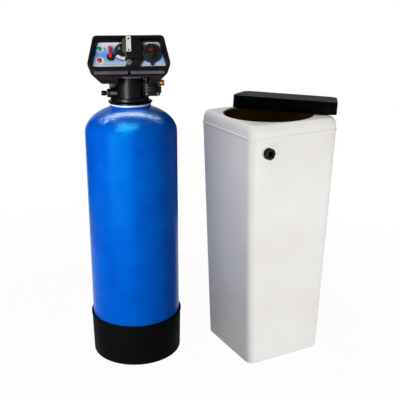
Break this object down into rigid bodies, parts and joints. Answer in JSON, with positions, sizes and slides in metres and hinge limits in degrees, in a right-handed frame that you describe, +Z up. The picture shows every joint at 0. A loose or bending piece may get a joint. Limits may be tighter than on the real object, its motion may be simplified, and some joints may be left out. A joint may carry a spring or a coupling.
{
  "type": "water softener",
  "caption": "Domestic water softener: a wound pressure tank in a boot with a mechanical timer valve on its neck, and a square brine tank with its lid laid across the mouth.",
  "frame": {"origin": "centre of the pressure tank's base on the floor", "axes": "+Z up along the pressure tank, +X towards the brine tank, the control head's face looks along -Y"},
  "size_m": [0.618, 0.3813, 0.7453],
  "materials": {
    "blue_shell": "gloss",
    "white_plastic": "satin",
    "pale_plastic": "satin",
    "black_plastic": "satin",
    "face_blue": "gloss",
    "red_plastic": "gloss",
    "green_plastic": "gloss",
    "ivory_plastic": "satin",
    "brass": "machined",
    "steel": "satin",
    "rubber": "matte",
    "resin": "matte",
    "gravel": "matte"
  },
  "bodies": {
    "softener": {"tank_shell": "blue_shell", "tank_liner": "white_plastic", "neck_collar": "pale_plastic", "tank_boot": "black_plastic", "riser_tube": "pale_plastic", "lower_basket": "pale_plastic", "upper_strainer": "pale_plastic", "gravel_bed": "gravel", "resin_bed": "resin", "valve_body": "black_plastic", "neck_o_ring": "rubber", "barrel_seals": "rubber", "barrel_spacers": "pale_plastic", "end_plug": "black_plastic", "inlet_nipple": "black_plastic", "outlet_nipple": "black_plastic", "port_retainer": "black_plastic", "valve_screws": "steel", "injector_body": "black_plastic", "injector_cover": "black_plastic", "injector_nozzle": "white_plastic", "brine_valve_cap": "black_plastic", "brine_spring": "steel", "brine_fitting": "brass", "drain_fitting": "black_plastic", "head_plate": "pale_plastic", "rear_housing": "black_plastic", "front_bezel": "black_plastic", "face_plate": "face_blue", "timer_plate": "steel", "centre_cover": "black_plastic", "index_strip": "white_plastic", "strip_screws": "steel", "dial_scale": "white_plastic", "clock_motor": "steel", "selector_boss": "black_plastic", "green_lamp": "green_plastic", "red_lamp": "red_plastic", "drive_bracket": "steel", "drive_motor": "steel", "brine_tank": "white_plastic", "overflow_fitting": "black_plastic", "brine_well": "pale_plastic", "well_cap": "black_plastic", "salt_grid": "black_plastic", "float_valve": "black_plastic", "pickup_tube": "white_plastic"},
    "lid": {"brine_lid": "black_plastic"},
    "time_dial": {"time_dial": "black_plastic", "time_gear": "ivory_plastic"},
    "clock_pinion": {"clock_pinion": "brass"},
    "program_wheel": {"program_wheel": "black_plastic"},
    "regen_knob": {"regen_knob": "steel"},
    "selector": {"selector_lever": "red_plastic"},
    "drive_gear": {"drive_gear": "ivory_plastic"},
    "drive_pinion": {"drive_pinion": "brass"},
    "piston": {"piston": "pale_plastic", "piston_rod": "steel"},
    "brine_stem": {"brine_stem": "steel"},
    "float": {"float": "ivory_plastic"}
  },
  "joints": [
    {"name": "lid_lift", "type": "slide", "parent": "softener", "child": "lid", "axis": [0, 0, 1], "range_m": [0, 0.25]},
    {"name": "time_dial_turn", "type": "hinge", "parent": "softener", "child": "time_dial", "pos_m": [0.0477, -0.03966, 0.70704], "axis": [0, -0.9063, 0.4226], "continuous": true},
    {"name": "clock_pinion_turn", "type": "hinge", "parent": "softener", "child": "clock_pinion", "pos_m": [0.0477, -0.01858, 0.72623], "axis": [0, -0.9063, 0.4226], "continuous": true},
    {"name": "program_wheel_turn", "type": "hinge", "parent": "softener", "child": "program_wheel", "pos_m": [-0.0115, -0.0381, 0.71039], "axis": [0, -0.9063, 0.4226], "continuous": true},
    {"name": "regen_knob_turn", "type": "hinge", "parent": "softener", "child": "regen_knob", "pos_m": [0, -0.05633, 0.69021], "axis": [0, -0.9063, 0.4226], "continuous": true},
    {"name": "selector_swing", "type": "hinge", "parent": "softener", "child": "selector", "pos_m": [-0.038, -0.04616, 0.70257], "axis": [0, -0.9063, 0.4226], "range_deg": [0, 75]},
    {"name": "drive_gear_turn", "type": "hinge", "parent": "softener", "child": "drive_gear", "pos_m": [0, 0.021, 0.714], "axis": [0, -1, 0], "continuous": true},
    {"name": "drive_pinion_turn", "type": "hinge", "parent": "softener", "child": "drive_pinion", "pos_m": [0.0223, 0.021, 0.714], "axis": [0, -1, 0], "continuous": true},
    {"name": "piston_slide", "type": "slide", "parent": "softener", "child": "piston", "axis": [0, 0, 1], "range_m": [-0.024, 0]},
    {"name": "brine_valve_lift", "type": "slide", "parent": "softener", "child": "brine_stem", "axis": [0, 0, 1], "range_m": [0, 0.004], "stiffness_N_per_m": 1500, "deforming": ["brine_spring"]},
    {"name": "float_rise", "type": "slide", "parent": "softener", "child": "float", "axis": [0, 0, 1], "range_m": [0, 0.012]}
  ],
  "couplings": [
    {"joint": "clock_pinion_turn", "follows": "time_dial_turn", "ratio": -3.3333},
    {"joint": "program_wheel_turn", "follows": "time_dial_turn", "ratio": 0.083333},
    {"joint": "drive_pinion_turn", "follows": "drive_gear_turn", "ratio": -2.6667}
  ]
}
